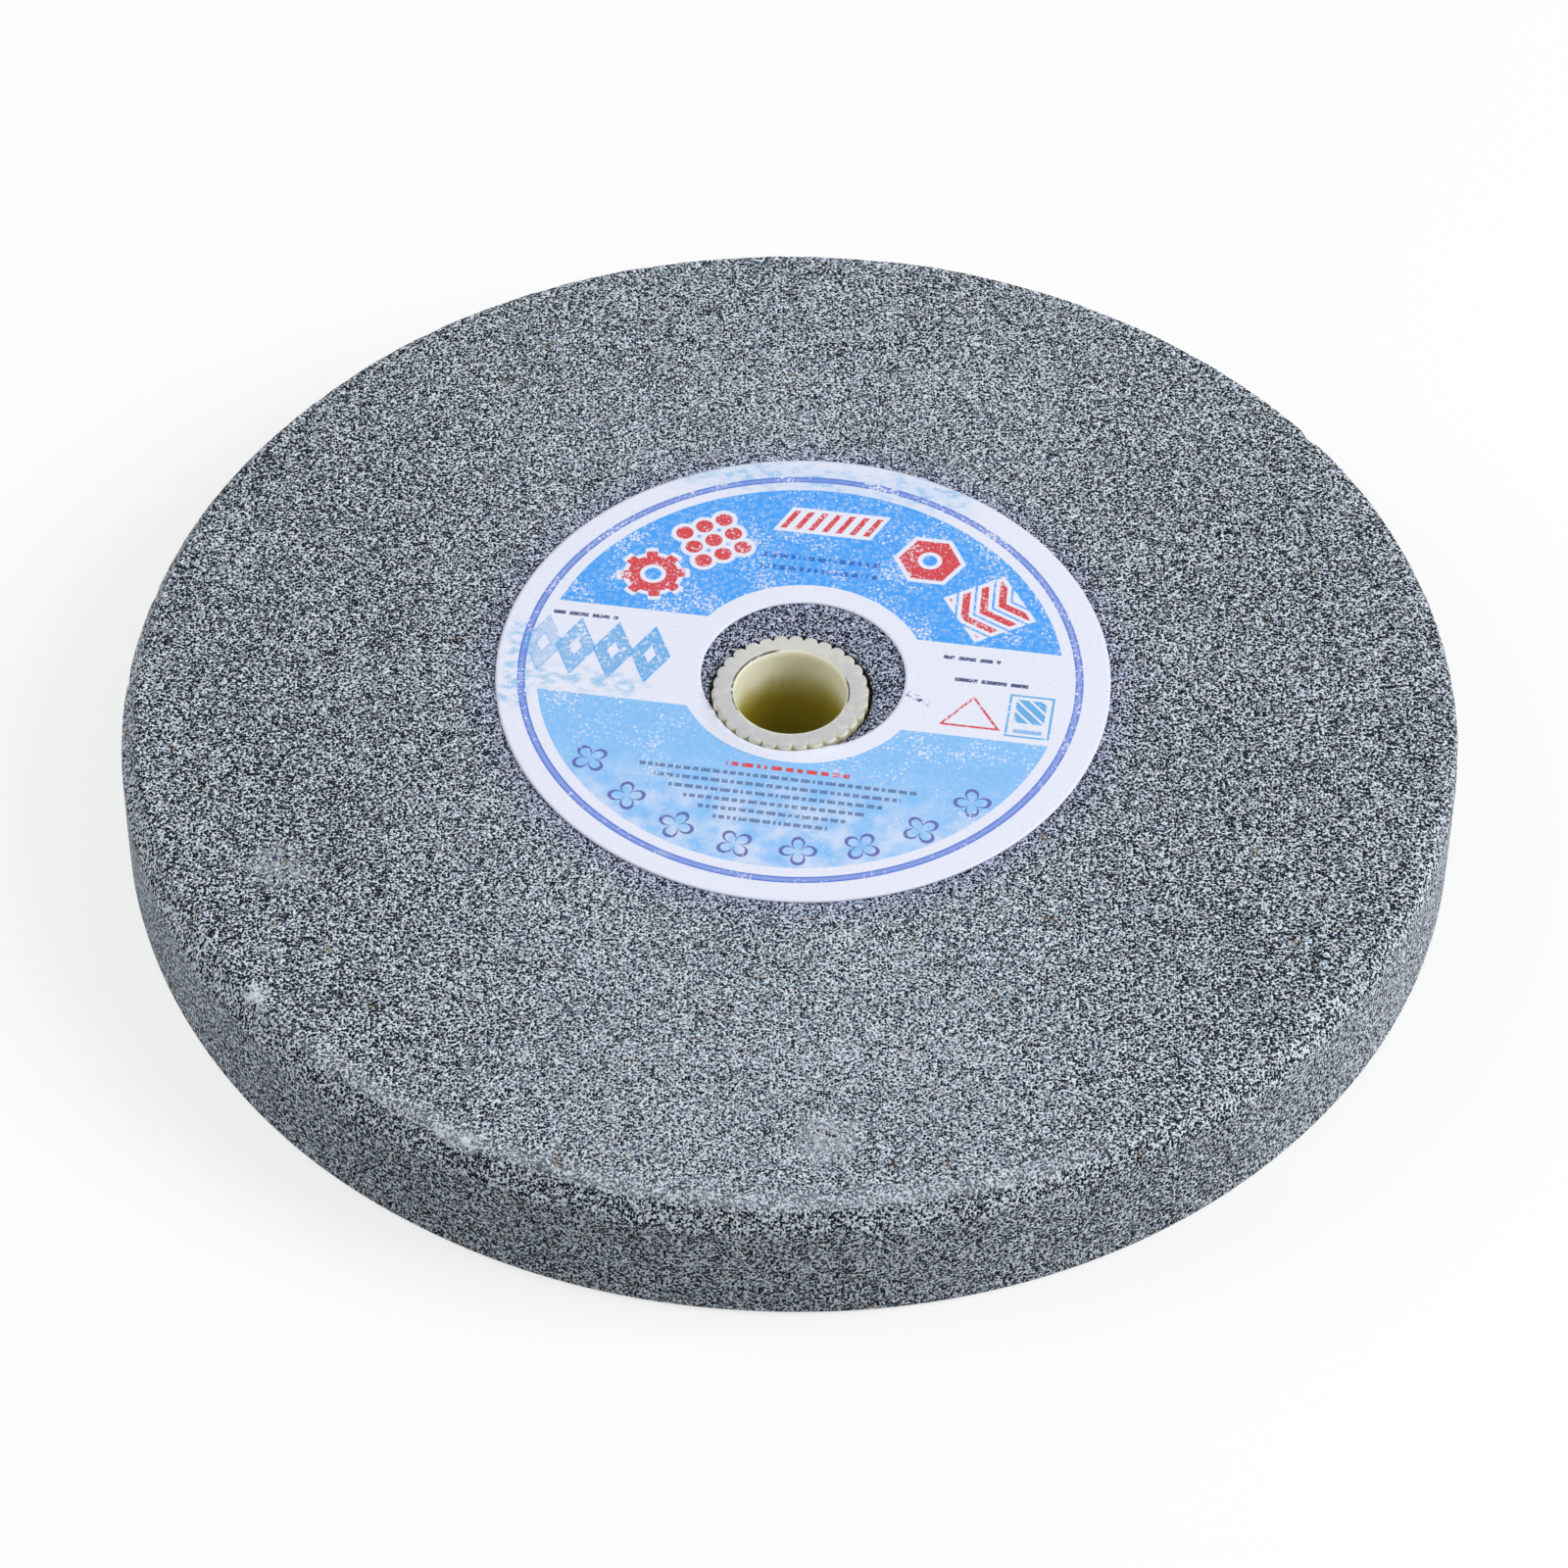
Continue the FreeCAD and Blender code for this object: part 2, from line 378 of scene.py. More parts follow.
def fired_abrasive(stone):
    """Vitrified abrasive, pressed and fired: glassy grains of every grey from near black to
    pale, with open pores between them, so that it looks like dull granite."""
    material = bpy.data.materials.new("vitrified_abrasive_pressed_and_fired")
    shader = Shader(material)
    add = shader.add
    place = shader.millimetres()
    level = add("VectorMath", [place, (1, 1, 0)], "MULTIPLY")
    right, back, height = add("SeparateXYZ", [place]).outputs
    top = FACE_HEIGHT / MM

    # Where the stone is harsher, with deeper pores: at the sides and the back, in the
    # label's hole, and on the bevel and the rim. Both are paler at the wheel's sides.
    cloud = add("TexNoise", {"Vector": place, "Scale": 1 / 14.0, "Detail": 1.0})
    sideways = add("Math", [right], "ABSOLUTE")
    aside = add("Math", [cloud, 30.0, sideways], "MULTIPLY_ADD")
    aside = add("MapRange", [aside, 28.0, 63.0])
    behind = add("MapRange", [back, 30.0, 65.0, 0.0, 0.6])
    from_axis = add("VectorMath", [level], "LENGTH")
    in_hub = add("MapRange", [from_axis, 16.0, 14.0, 0.0, 0.55])
    harsh = add("Math", [aside, behind], "MAXIMUM")
    harsh = add("Math", [harsh, in_hub], "MAXIMUM")
    calm = add("Math", [1.0, harsh], "SUBTRACT")
    below = add("MapRange", [height, top - 0.2, top - 1.0])
    paler = add("MapRange", [sideways, 35.0, 70.0, 0.0, 0.12])
    on_rim = add("Math", [below, 0.65], "MULTIPLY")
    harsh = add("Math", [harsh, on_rim], "MAXIMUM")

    # At the front, the last of the face before the bevel is worn smooth, and its pores are
    # full of pale dust.
    centre, reach = bevel_circle(stone)
    reach = reach / MM
    from_centre = add("VectorMath", [level, (*centre / MM, 0)], "DISTANCE")
    ragged = shader.patches(place, 3.0, 0.30, 0.60)
    ragged_edge = add("Math", [ragged, 0.8, from_centre], "MULTIPLY_ADD")
    near_edge = add("MapRange", [ragged_edge, reach - 2.5, reach + 0.2])
    front = (-0.17, -0.985, 0)
    towards = add("VectorMath", [level, front], "DOT_PRODUCT")
    in_front = add("MapRange", [towards, 53.0, 66.0])
    worn = add("Math", [near_edge, below], "SUBTRACT")
    worn = add("Math", [worn, in_front], "MULTIPLY", use_clamp=True)
    smoothed = add("Math", [worn, -0.7, 1.0], "MULTIPLY_ADD")
    harsh = add("Math", [harsh, smoothed], "MULTIPLY")

    # Each grain has its own tone, which is darker near a pore and varies with fine grit.
    # The gain spreads the tones about their mean.
    grains = add("TexVoronoi", {"Vector": place, "Scale": MM / stone.grain_size})
    pores = add("TexVoronoi", {"Vector": place, "Scale": MM / stone.pore_spacing})
    grit = add("TexNoise", {"Vector": place, "Scale": 1.6 * MM / stone.grain_size, "Detail": 1.0})
    random = add("SeparateColor", [grains.outputs["Color"]])
    tone = shader.total(-0.42, (random.outputs[0], 0.68), (pores.outputs["Distance"], 0.62),
                        (grit, 0.30), (cloud, 0.12), (below, paler))
    gain = shader.total(2.05, (harsh, 0.95), (below, 0.7), (worn, -0.25))
    mean_tone = 0.42
    tone = add("Math", [tone, mean_tone], "SUBTRACT")
    tone = add("Math", [tone, gain, mean_tone], "MULTIPLY_ADD")
    ramp = add("ValToRGB", [tone])
    stops = [(0.10, stone.pore), (0.30, stone.shade), (0.50, stone.body), (0.84, stone.light)]
    elements = ramp.color_ramp.elements
    while len(elements) < len(stops):
        elements.new(0.5)
    for element, (where, value) in zip(elements, stops):
        element.position = where
        element.color = value

    hollow = add("SeparateColor", [pores.outputs["Color"]])
    room = shader.total(0.08, (hollow.outputs[0], 0.56), (harsh, 0.12), (worn, -0.07))
    open_pore = add("Math", [room, pores.outputs["Distance"]], "SUBTRACT")
    open_pore = add("MapRange", [open_pore, -0.02, 0.09])
    warm = add("MapRange", [random.outputs[1], 0.92, 0.94, 0.0, 0.55])
    cold = add("MapRange", [random.outputs[2], 0.80, 0.85, 0.0, 0.40])
    # Painted light: the front of the face is painted paler, towards the dust colour, where more light
    # falls on it.
    painted_front_light = add("MapRange", [back, -25.0, -60.0, 0.0, 0.12])
    shader.base = ramp
    shader.lay(stone.dust_and_front_light, painted_front_light, calm)
    shader.lay(stone.rust, warm)
    shader.lay(stone.cold, cold)
    shader.lay(stone.pore, open_pore)

    # Pale dust: thin at the worn edge of the face, thick in two bruises and in four chips out
    # of the corner, each given by its ink, place, size and strength. Then faint brown stains.
    shader.lay(stone.dust_and_front_light, worn, 0.22)
    crumbled = shader.patches(place, 0.6, 0.40, 0.56, shift=3.0)
    high_up = add("MapRange", [height, top - 1.4, top - 0.6])
    for ink, x, y, size, strength in (
            (stone.dust_and_front_light, -55.4, -26.6, 4.5, 0.5),
            (stone.dust_and_front_light, 4.4, -64.4, 4.5, 0.5),
            (stone.light, -57.1, -45.2, 1.9, 0.8),
            (stone.light, -56.0, -47.6, 1.2, 0.6),
            (stone.light, -35.8, -63.8, 1.6, 0.8),
            (stone.light, -33.4, -65.2, 1.6, 0.8)):
        away = add("VectorMath", [level, (x, y, 0)], "DISTANCE")
        away = add("MapRange", [away, size, 0.4 * size, 0.0, strength])
        shader.lay(ink, away, crumbled, high_up)
    stained = shader.patches(place, 2.6, 0.66, 0.76, 2.0, shift=5.0)
    shader.lay(stone.stain, stained, blend_type="MULTIPLY")

    # Violet ink round the label, and painted shade on the worn lip of the hole, beside the bush,
    # darkest where the lip sinks lowest.
    from_label = add("VectorMath", [level, LABEL_MIDDLE_MM], "DISTANCE")
    inked = add("MapRange", [from_label, 39.5, 34.0, 0.0, 0.8])
    on_face = add("MapRange", [height, top - 1.0, top - 0.5])
    shader.lay(stone.dye, inked, on_face, blend_type="MULTIPLY")
    uneven = add("TexNoise", {"Vector": place, "Scale": 1 / 0.8, "Detail": 2.0})
    sunk_lip_shade = add("Math", [uneven, 0.3, height], "MULTIPLY_ADD")
    sunk_lip_shade = add("MapRange", [sunk_lip_shade, top + 0.13, top - 0.02])
    by_bush = add("MapRange", [from_axis, 10.6, 10.1])
    near_top = add("MapRange", [height, top - 4.0, top - 2.0])
    shader.lay(stone.grime_and_gap_shade, sunk_lip_shade, by_bush, near_top, blend_type="MULTIPLY")

    relief = add("Math", [open_pore, -1.2, tone], "MULTIPLY_ADD")
    bump = add("Bump", {"Height": relief, "Strength": 0.5, "Distance": 0.12 * MM})
    surface = add("BsdfPrincipled", {
        "Base Color": shader.base, "Roughness": 0.75, "IOR": 1.5, "Specular IOR Level": 0.2,
        "Normal": bump})
    add("OutputMaterial", [surface])
    return material


def tooth_outline(bush, angles):
    """The bush's outer radius at each angle, with each tooth a little unlike the next."""
    pitch = TURN / bush.teeth
    turned = (angles - bush.turn) / pitch
    tooth = np.round(turned).astype(int)
    along = np.abs(turned - tooth) * pitch * BUSH_RADIUS
    half_pitch = pitch * BUSH_RADIUS / 2
    shoulder = half_pitch - bush.notch_mouth / 2
    floor = half_pitch - bush.notch_floor / 2
    uneven = np.array([noise.cell(Vector((int(t) % bush.teeth + 0.5, 2.5, 7.5))) for t in tooth])
    crown = bush.crown * (along / shoulder) ** 2
    fall = np.clip((along - shoulder) / (floor - shoulder), 0, 1)
    notch = bush.crown + (bush.notch_depth - bush.crown) * fall
    return BUSH_RADIUS - np.where(along < shoulder, crown, notch) - 0.05 * MM * uneven


def toothed_bush(bush):
    """The bush's mesh: toothed outside, flat dressed ends, chamfered bore. In the hole, the
    notches are packed with dirt, high at the front and low at the back."""
    turns = bush.teeth * 20
    angles = np.arange(turns) / turns * TURN
    outer = tooth_outline(bush, angles)[:, None]
    bore = np.full_like(outer, bush.bore_radius)
    low, high = BUSH_LOW[2], BUSH_HIGH[2]
    soft = 0.09 * MM
    back = np.sin(angles)[:, None]
    packed = FACE_HEIGHT + bush.packed - 0.35 * MM * back - 0.7 * MM * np.maximum(back, 0)
    room = np.maximum(BUSH_RADIUS - 0.15 * MM - outer, 0)
    lower = np.linspace(low + soft, FACE_HEIGHT - 0.7 * MM, 8)
    upper = np.linspace(FACE_HEIGHT - 0.5 * MM, high - soft, 9)
    stations = []
    for level in [*lower, *upper]:
        share = np.clip((packed - level) / (0.3 * MM) + 0.5, 0, 1)
        share *= np.clip((level - low) / (4 * MM) - 1, 0, 1)
        stations.append((outer + room * share, level))
    stations += [(outer - 0.3 * soft, high - 0.3 * soft), (outer - soft, high)]
    mouth = bore + bush.chamfer
    stations += [(outer + (mouth - outer) * share, high) for share in (0.2, 0.4, 0.6, 0.8, 0.95)]
    stations.append((mouth, high - 0.02 * MM))
    stations.append((bore + 0.4 * bush.chamfer, high - 0.6 * bush.chamfer))
    stations += [(bore, level) for level in np.linspace(high - bush.chamfer, low + bush.chamfer, 22)]
    stations += [(mouth, low), (outer - soft, low)]
    radius = np.concatenate([part[0] for part in stations], axis=1)
    height = np.concatenate([np.full_like(outer, part[1]) for part in stations], axis=1)
    return closed_grid("toothed_bush", spun(radius, height, angles), moulded_nylon(bush))


def moulded_nylon(bush):
    """Ivory nylon 6, moulded, with light soaking in. Its bore is painted olive, deeper and yellower
    with depth, as painted shade.
    The end face was dressed flat with the stone, and is paler, greyer and scuffed."""
    material = bpy.data.materials.new("nylon_moulded_ivory")
    shader = Shader(material)
    add = shader.add
    place = shader.millimetres()
    level = add("VectorMath", [place, (1, 1, 0)], "MULTIPLY")
    radius = add("VectorMath", [level], "LENGTH")
    right, back, height = add("SeparateXYZ", [place]).outputs
    sector = add("Math", [back, right], "ARCTAN2")
    top = BUSH_HIGH[2] / MM

    # Painted shade: down the bore the colour is painted deeper and yellower with depth, except near the
    # lower mouth.
    drawn = shader.patches(place, 2.5, 0.30, 0.70, 2.0, stretch=(1, 1, 0.4))
    depth = add("Math", [drawn, 0.8, height], "MULTIPLY_ADD")
    mouth = (bush.bore_radius + bush.chamfer) / MM
    in_bore = add("MapRange", [radius, mouth + 0.1, mouth - 0.1])
    wall_shade_and_dirt = add("MapRange", [height, top - 0.15, top - 0.9, 0.0, 0.75])
    beyond_bore = add("Math", [1.0, in_bore], "SUBTRACT")
    shader.base = tuple(bush.nylon)
    shader.lay(bush.painted_bore_olive, in_bore, add("MapRange", [depth, top - 1.5, top - 7.0]))
    inside = add("MapRange", [height, 1.0, 4.5])
    deeper_bore_shade = add("MapRange", [depth, top - 2.2, top - 8.0])
    shader.lay(bush.deep, in_bore, inside, deeper_bore_shade)
    # Painted shade, with dirt: outside the bore, the nylon is painted browner from just below the
    # dressed end downwards.
    shader.lay(bush.dirt_and_wall_shade, wall_shade_and_dirt, beyond_bore)

    # The dressed end is pale, with nylon showing through at the back and where it is less
    # scuffed, and its outer corner is brown with handling.
    on_top = add("MapRange", [height, top - 0.10, top - 0.03])
    shader.lay(bush.dressed, on_top)
    at_back = add("MapRange", [back, 1.0, 8.0, 0.0, 0.32])
    shader.lay(bush.nylon, on_top, at_back)
    shader.lay(bush.nylon, on_top, shader.patches(place, 1.3, 0.45, 0.70, shift=1.0), 0.28)
    tips = add("MapRange", [radius, 8.30, 8.75, 0.0, 0.35])
    shader.lay(bush.dirt_and_wall_shade, on_top, tips, shader.patches(place, 0.7, 0.35, 0.60, shift=3.0))

    # A broken line of dirt round part of the bore's mouth, and a pale burr round the rest.
    off_line = shader.off(radius, mouth - 0.03)
    upper = add("MapRange", [height, top - 0.6, top - 0.3])
    ragged = shader.patches(place, 0.6, 0.32, 0.46, shift=2.0)
    for middle, spread, ink, width in ((155, 52, bush.grime_and_gap_shade, 0.11), (2, 16, bush.grime_and_gap_shade, 0.10),
                                       (279, 56, bush.burr, 0.14)):
        turned = add("Math", [sector, math.radians(middle)], "SUBTRACT")
        turned = add("Math", [turned], "COSINE")
        ends = [math.cos(math.radians(spread + fade)) for fade in (5, -5)]
        facing = add("MapRange", [turned, *ends])
        line = add("MapRange", [off_line, width + 0.05, width - 0.05])
        shader.lay(ink, line, facing, ragged, upper)

    scuff = add("TexNoise", {"Vector": place, "Scale": 4.0, "Detail": 4.0, "Roughness": 0.7})
    bump = add("Bump", {"Height": scuff, "Strength": 0.3, "Distance": 0.05 * MM})
    surface = add("BsdfPrincipled", {
        "Base Color": shader.base, "Roughness": 0.48, "IOR": 1.53, "Subsurface Weight": 0.5,
        "Subsurface Scale": 1.6 * MM, "Subsurface Radius": (1.6, 1.2, 0.5), "Normal": bump})
    add("OutputMaterial", [surface])
    return material


def paper_sheet(label):
    """The label's mesh: a thin sheet that lies on the stone and rides up beside the bush."""
    turns = 480
    angles = np.arange(turns) / turns * TURN
    ray = np.stack([np.cos(angles), np.sin(angles)], -1)
    hole = np.array([LABEL_CENTRE.x, LABEL_CENTRE.y - label.hole_off_centre])
    room = BUSH_RADIUS + label.bush_clearance

    def reach(centre, size):
        """How far each ray from the hole's centre runs before it leaves a circle."""
        along = ray @ (centre - hole)
        aside = ray[:, 0] * (centre - hole)[1] - ray[:, 1] * (centre - hole)[0]
        return along + np.sqrt(size ** 2 - aside ** 2)

    pushed = reach(np.zeros(2), room)
    inner = np.maximum(label.hole_radius, pushed)
    outer = reach(np.array(LABEL_CENTRE), LABEL_RADIUS)
    shares = np.concatenate([np.linspace(0, 0.12, 9), np.linspace(0.14, 0.97, 34), [0.985, 1.0]])
    distance = inner[:, None] + (outer - inner)[:, None] * shares
    low, high = LABEL_LOW[2], LABEL_HIGH[2]
    by_bush = np.clip((pushed - label.hole_radius + 0.5 * MM) / (1.0 * MM), 0, 1)[:, None]
    lift = label.lifted_edge * by_bush * np.exp(-((distance - inner[:, None]) / (1.1 * MM)) ** 2)
    flat = np.concatenate([distance, distance[:, ::-1]], axis=1)
    x = hole[0] + flat * ray[:, :1]
    y = hole[1] + flat * ray[:, 1:]
    height = np.concatenate([high + lift, (low + 0.01 * MM + lift)[:, ::-1]], axis=1)
    points = np.stack([x, y, height], -1)
    return closed_grid("paper_disc", points, printed_paper(label))


class Print(Shader):
    """Marks on the label, in its own axes: millimetres from its centre, with the white band
    level. Each shape is a distance, less than 0 inside it, and is laid over what is there."""

    def __init__(self, owner, label):
        super().__init__(owner)
        turned = self.add("Mapping", [self.millimetres(), LABEL_MIDDLE_MM, (0, 0, label.turn)],
                          vector_type="TEXTURE")
        self.place = self.add("VectorMath", [turned, (1, 1, 0)], "MULTIPLY")
        self.u, self.v, _ = self.add("SeparateXYZ", [self.place]).outputs
        self.base = tuple(label.paper)
        self.thin_ink = self.patches(self.place, 0.3, 0.20, 0.40, 2.0, shift=9.0)

    def seen_from(self, point, turn=0.0, fold=True):
        """Both coordinates from a point, turned; folded, each is 0 or more."""
        local = self.add("Mapping", [self.place, (*point, 0), (0, 0, turn)], vector_type="TEXTURE")
        if fold:
            local = self.add("VectorMath", [local], "ABSOLUTE")
        return self.add("SeparateXYZ", [local]).outputs[:2]

    def span(self, x, y):
        """Length of the line that two coordinates span."""
        squares = self.add("Math", [x, x], "MULTIPLY")
        squares = self.add("Math", [y, y, squares], "MULTIPLY_ADD")
        return self.add("Math", [squares], "SQRT")

    def radius(self, point=(0, 0)):
        """Distance from a point."""
        return self.span(*self.seen_from(point))

    def box(self, point, half, turn=0.0):
        """Distance outside a rectangle."""
        x, y = self.seen_from(point, turn)
        x = self.add("Math", [x, half[0]], "SUBTRACT")
        y = self.add("Math", [y, half[1]], "SUBTRACT")
        return self.add("Math", [x, y], "MAXIMUM")

    def dashes(self, along, size, gap=0.22):
        """Dashes of unlike lengths along a line."""
        found = self.add("TexVoronoi", {"W": along, "Scale": 1 / size}, voronoi_dimensions="1D",
                         feature="DISTANCE_TO_EDGE").outputs["Distance"]
        return self.add("MapRange", [found, 0.8 * gap / size, 1.2 * gap / size])

    def mark(self, ink, distance, *amounts, size=0.0, edge=0.05):
        """Lays an ink where a distance is less than a size, and where all the amounts are."""
        within = self.add("MapRange", [distance, size + edge, size - edge])
        self.lay(ink, within, *amounts)


def toothed_ring(sheet, point, turn):
    """Distance outside a ring with eight square teeth."""
    add = sheet.add
    teeth, hole, root, tip = 8.0, 1.5, 2.9, 3.65
    x, y = sheet.seen_from(point, turn, fold=False)
    wave = add("Math", [y, x], "ARCTAN2")
    wave = add("Math", [wave, teeth], "MULTIPLY")
    wave = add("Math", [wave], "COSINE")
    reach = add("MapRange", [wave, -0.25, 0.25, root, tip])
    radius = sheet.radius(point)
    outside = add("Math", [radius, reach], "SUBTRACT")
    inside = add("Math", [hole, radius], "SUBTRACT")
    return add("Math", [outside, inside], "MAXIMUM")


def nine_dots(sheet, point, turn):
    """Distance outside nine dots set in a square."""
    spacing, dot = 2.5, 1.0
    x, y = [sheet.add("Math", [part, sheet.off(part, spacing)], "MINIMUM")
            for part in sheet.seen_from(point, turn)]
    return sheet.add("Math", [sheet.span(x, y), dot], "SUBTRACT")


def six_sided_ring(sheet, point, turn):
    """Distance outside a six-sided ring with a round hole, like a nut."""
    add = sheet.add
    half_width, hole = 3.1, 1.4
    x, y = sheet.seen_from(point, turn)
    slanted = sheet.total(0.0, (y, math.sqrt(0.75)), (x, 0.5))
    outside = add("Math", [x, slanted], "MAXIMUM")
    outside = add("Math", [outside, half_width], "SUBTRACT")
    inside = add("Math", [hole, sheet.radius(point)], "SUBTRACT")
    return add("Math", [outside, inside], "MAXIMUM")


def chevrons(sheet, point, turn):
    """Distance outside a stack of chevrons."""
    add = sheet.add
    half_size, half_pitch, half_width = 3.4, 1.2, 0.5
    x, y = sheet.seen_from(point, turn)
    _, level = sheet.seen_from(point, turn, fold=False)
    slanted = sheet.total(20.0, (level, 1.0), (x, -0.6))
    stripe = add("Math", [slanted, half_pitch], "PINGPONG")
    stripe = add("Math", [stripe, half_width], "SUBTRACT")
    room = add("Math", [x, y], "MAXIMUM")
    room = add("Math", [room, half_size], "SUBTRACT")
    return add("Math", [stripe, room], "MAXIMUM")


def slanted_bars(sheet, point, turn):
    """Distance outside seven slanted bars in a row."""
    add = sheet.add
    half_row, half_height, half_pitch, half_width = 5.15, 1.5, 0.8, 0.35
    x, y = sheet.seen_from(point, turn, fold=False)
    slanted = add("Math", [y, -0.45, x], "MULTIPLY_ADD")
    across = add("Math", [slanted, half_pitch], "PINGPONG")
    across = add("Math", [across, half_width], "SUBTRACT")
    sides = add("Math", [sheet.off(slanted, 0.0), half_row], "SUBTRACT")
    ends = add("Math", [sheet.off(y, 0.0), half_height], "SUBTRACT")
    room = add("Math", [sides, ends], "MAXIMUM")
    return add("Math", [across, room], "MAXIMUM")


def printed_fields(sheet, label):
    """The ring line and the two blue fields, which leave a white cross band and hub ring."""
    add = sheet.add
    place = sheet.place
    smear = sheet.patches(place, 1.6, 0.40, 0.64, 6.0, 1.0, (1.0, 1.5, 1))
    soft_smear = add("Math", [smear, 0.35], "MAXIMUM")

    # Ink smeared over the paper: on the far border, on the left border and in the band.
    sheet.mark(label.smear, sheet.box((-2, 31.0), (17, 2.4)), soft_smear, 0.85, edge=2.2)
    sheet.mark(label.smear, sheet.box((-32.0, -3.5), (1.6, 6.5)), smear, 0.95, edge=1.2)
    sheet.mark(label.smear, sheet.box((-24.0, -4.9), (6.5, 1.5)), smear, 0.9, edge=1.6)

    middle = sheet.radius((-0.3, -0.1))
    clear_hub = add("MapRange", [sheet.radius(), HUB_RADIUS - 0.05, HUB_RADIUS + 0.05])
    above = add("MapRange", [sheet.v, BAND_TOP - 0.05, BAND_TOP + 0.05])
    below = add("MapRange", [sheet.v, BAND_FOOT + 0.05, BAND_FOOT - 0.05])
    either = add("Math", [above, below], "MAXIMUM")
    mottle = sheet.patches(place, 0.7, 0.42, 0.70, 5.0, 2.0)
    cloudy = sheet.patches(place, 3.0, 0.30, 0.70, 6.0, 3.0)
    faded = add("MapRange", [sheet.v, -11.0, -26.0, 0.0, 0.68])
    sheet.mark(label.field, middle, clear_hub, above, size=FIELD_RADIUS)
    sheet.mark(label.pale_field, middle, clear_hub, below, size=FIELD_RADIUS)
    sheet.mark(label.mottle, middle, clear_hub, either, mottle, 0.50, size=FIELD_RADIUS)
    sheet.mark(label.paper, middle, below, faded, cloudy, size=FIELD_RADIUS)

    # A double line, broken here and there, with paler ink between its edges.
    off_ring = sheet.off(middle, RING_RADIUS)
    broken = sheet.patches(place, 0.7, 0.28, 0.40, 4.0, 5.0)
    lost = sheet.patches(place, 9.0, 0.20, 0.38, 2.0, 6.0)
    sheet.mark(label.ring, off_ring, broken, lost, 0.74, size=0.42)
    sheet.mark(label.ring, sheet.off(off_ring, 0.34), broken, lost, 0.85, size=0.10)


def printed_marks(sheet, label):
    """Five large outlined shapes, and rows of dashes."""
    add = sheet.add
    chalky = sheet.patches(sheet.place, 0.35, 0.28, 0.42, 3.0, 4.0)
    emblems = (
        (toothed_ring, (-19.25, 13.0), 56.0),
        (nine_dots, (-13.25, 19.5), 34.0),
        (slanted_bars, (-0.2, 24.3), 0.0),
        (six_sided_ring, (11.75, 20.0), -30.0),
        (chevrons, (19.5, 13.25), -56.0),
    )
    for shape, point, turn in emblems:
        distance = shape(sheet, point, math.radians(turn))
        sheet.mark(label.paper, distance, size=0.55, edge=0.08)
        sheet.mark(label.red, distance, chalky)

    # Single rows of plain dashes: left and right end, height on the label, half the dashes'
    # height, ink, and the dashes' mean length.
    for left, right, level, half_height, ink, size in (
            (-7.3, 6.3, 18.2, 0.35, label.deep, 0.9),
            (-7.3, 6.3, 16.3, 0.35, label.deep, 0.9),
            (-29.4, -22.0, 5.3, 0.28, label.fine_print, 2.6),
            (15.3, 21.8, 5.0, 0.28, label.fine_print, 2.6),
            (17.0, 25.3, 1.7, 0.28, label.fine_print, 2.8),
            (-6.4, 7.4, -15.1, 0.30, label.red, 1.2)):
        room = sheet.box(((left + right) / 2, level), ((right - left) / 2, half_height))
        along = add("Math", [sheet.u, level * 9.7], "ADD")
        sheet.mark(ink, room, sheet.dashes(along, size), sheet.thin_ink)

    # Six rows, each shorter than the one above it.
    pitch = 1.35
    along = add("Math", [sheet.v, -1 / pitch, 0.5 - 16.5 / pitch], "MULTIPLY_ADD")
    line = add("Math", [along], "FLOOR")
    height = add("Math", [along], "FRACT")
    six = add("MapRange", [sheet.off(line, 2.5), 2.9, 2.7])
    reach = add("Math", [line, -1.85, 15.6], "MULTIPLY_ADD")
    room = add("Math", [sheet.off(sheet.u, -0.3), reach], "SUBTRACT")
    room = add("MapRange", [room, 0.05, -0.05])
    shifted = add("Math", [line, 31.7, sheet.u], "MULTIPLY_ADD")
    sheet.mark(label.fine_print, sheet.off(height, 0.5), six, room,
               sheet.dashes(shifted, 1.0, 0.14), sheet.thin_ink, 0.75, size=0.20)


